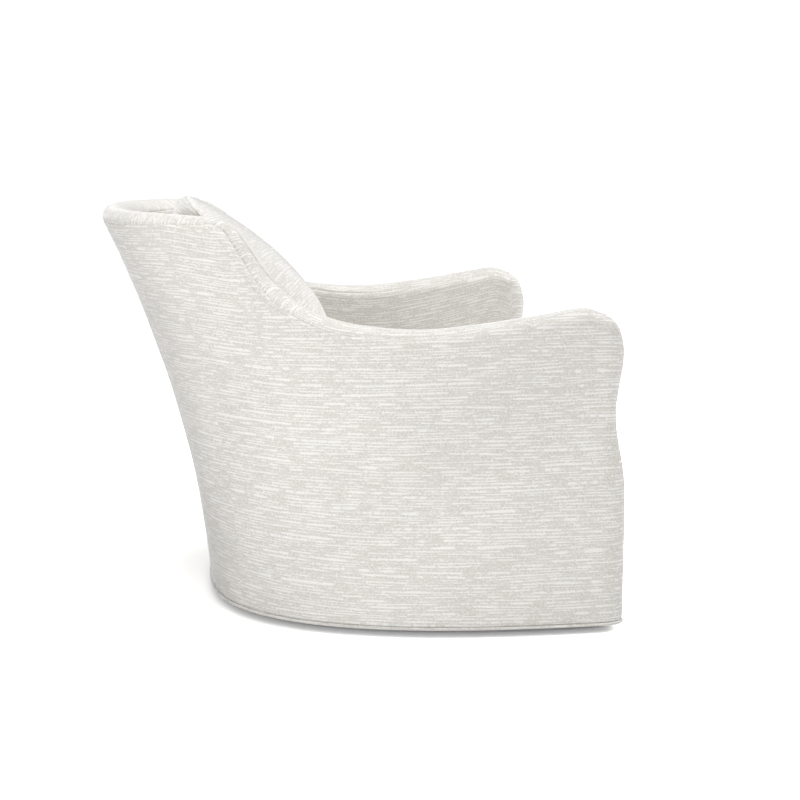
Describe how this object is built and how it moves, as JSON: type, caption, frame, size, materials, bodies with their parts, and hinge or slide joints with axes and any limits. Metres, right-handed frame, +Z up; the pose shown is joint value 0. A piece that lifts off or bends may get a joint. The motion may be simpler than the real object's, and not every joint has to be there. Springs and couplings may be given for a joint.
{
  "type": "swivel chair",
  "caption": "Low tub armchair on a hidden swivel base, with a flared curved back, sloping arms, a loose boxed seat cushion and a loose back pillow.",
  "frame": {"origin": "on the floor, under the middle of the chair's outline", "axes": "+Z up, -Y towards the open front of the seat, X across the arms"},
  "size_m": [0.84, 0.9154, 0.7627],
  "materials": {
    "linen": "nubby woven upholstery fabric in cream and light warm grey",
    "foam": "upholstery foam, hidden under the covers",
    "wadding": "soft fibre wadding, hidden under the covers",
    "black_cloth": "black woven cloth and webbing",
    "beech": "planed hardwood, unfinished",
    "birch_plywood": "plywood, unfinished",
    "plated_steel": "zinc plated steel",
    "nylon": "matte nylon"
  },
  "bodies": {
    "base": {"floor_glides": "nylon", "base_blocks": "birch_plywood", "base_board": "birch_plywood", "swivel_lower_plate": "plated_steel", "lower_plate_bolts": "plated_steel", "pivot_bolt": "plated_steel", "pivot_washer": "plated_steel", "pivot_nut": "plated_steel"},
    "bearing": {"ball_cage": "plated_steel", "bearing_balls": "plated_steel"},
    "chair": {"swivel_upper_plate": "plated_steel", "upper_plate_screws": "plated_steel", "swivel_mount_rails": "beech", "bottom_ring": "birch_plywood", "front_bottom_rail": "beech", "front_post_right": "beech", "front_post_left": "beech", "arm_panel_right": "birch_plywood", "arm_panel_left": "birch_plywood", "back_posts": "beech", "back_top_rail": "beech", "back_lumbar_rail": "birch_plywood", "back_webbing": "black_cloth", "seat_side_rail_right": "beech", "seat_side_rail_left": "beech", "seat_front_rail": "beech", "seat_rear_rail": "beech", "seat_springs": "plated_steel", "spring_clips": "plated_steel", "deck_pad": "wadding", "deck_cloth": "black_cloth", "arm_padding_right": "foam", "arm_padding_left": "foam", "arm_front_padding_right": "foam", "arm_front_padding_left": "foam", "back_padding": "foam", "front_padding": "foam", "outside_arm_cover_right": "linen", "outside_arm_cover_left": "linen", "inside_arm_cover_right": "linen", "inside_arm_cover_left": "linen", "outside_back_cover": "linen", "inside_back_cover": "linen", "rim_band": "linen", "front_border_cover": "linen", "base_welt": "linen", "dust_cover": "black_cloth"},
    "seat_cushion": {"seat_cushion_cover": "linen", "seat_cushion_core": "foam", "seat_cushion_zip": "nylon"},
    "zip_slider": {"zip_slider": "plated_steel"},
    "back_pillow": {"back_pillow_cover": "linen", "back_pillow_core": "wadding"}
  },
  "joints": [
    {"name": "swivel", "type": "hinge", "parent": "base", "child": "chair", "pos_m": [0, -0.086, 0.05], "axis": [0, 0, 1], "continuous": true},
    {"name": "ball_race", "type": "hinge", "parent": "base", "child": "bearing", "pos_m": [0, -0.086, 0.05], "axis": [0, 0, 1], "continuous": true},
    {"name": "seat_cushion_slide", "type": "slide", "parent": "chair", "child": "seat_cushion", "axis": [0, -1, 0], "range_m": [0, 0.5]},
    {"name": "zip_slide", "type": "slide", "parent": "seat_cushion", "child": "zip_slider", "axis": [1, 0, 0], "range_m": [0, 0.29]},
    {"name": "back_pillow_lift", "type": "slide", "parent": "chair", "child": "back_pillow", "axis": [0, 0.3584, 0.9336], "range_m": [0, 0.35]}
  ],
  "couplings": [
    {"joint": "ball_race", "follows": "swivel", "ratio": 0.5}
  ]
}
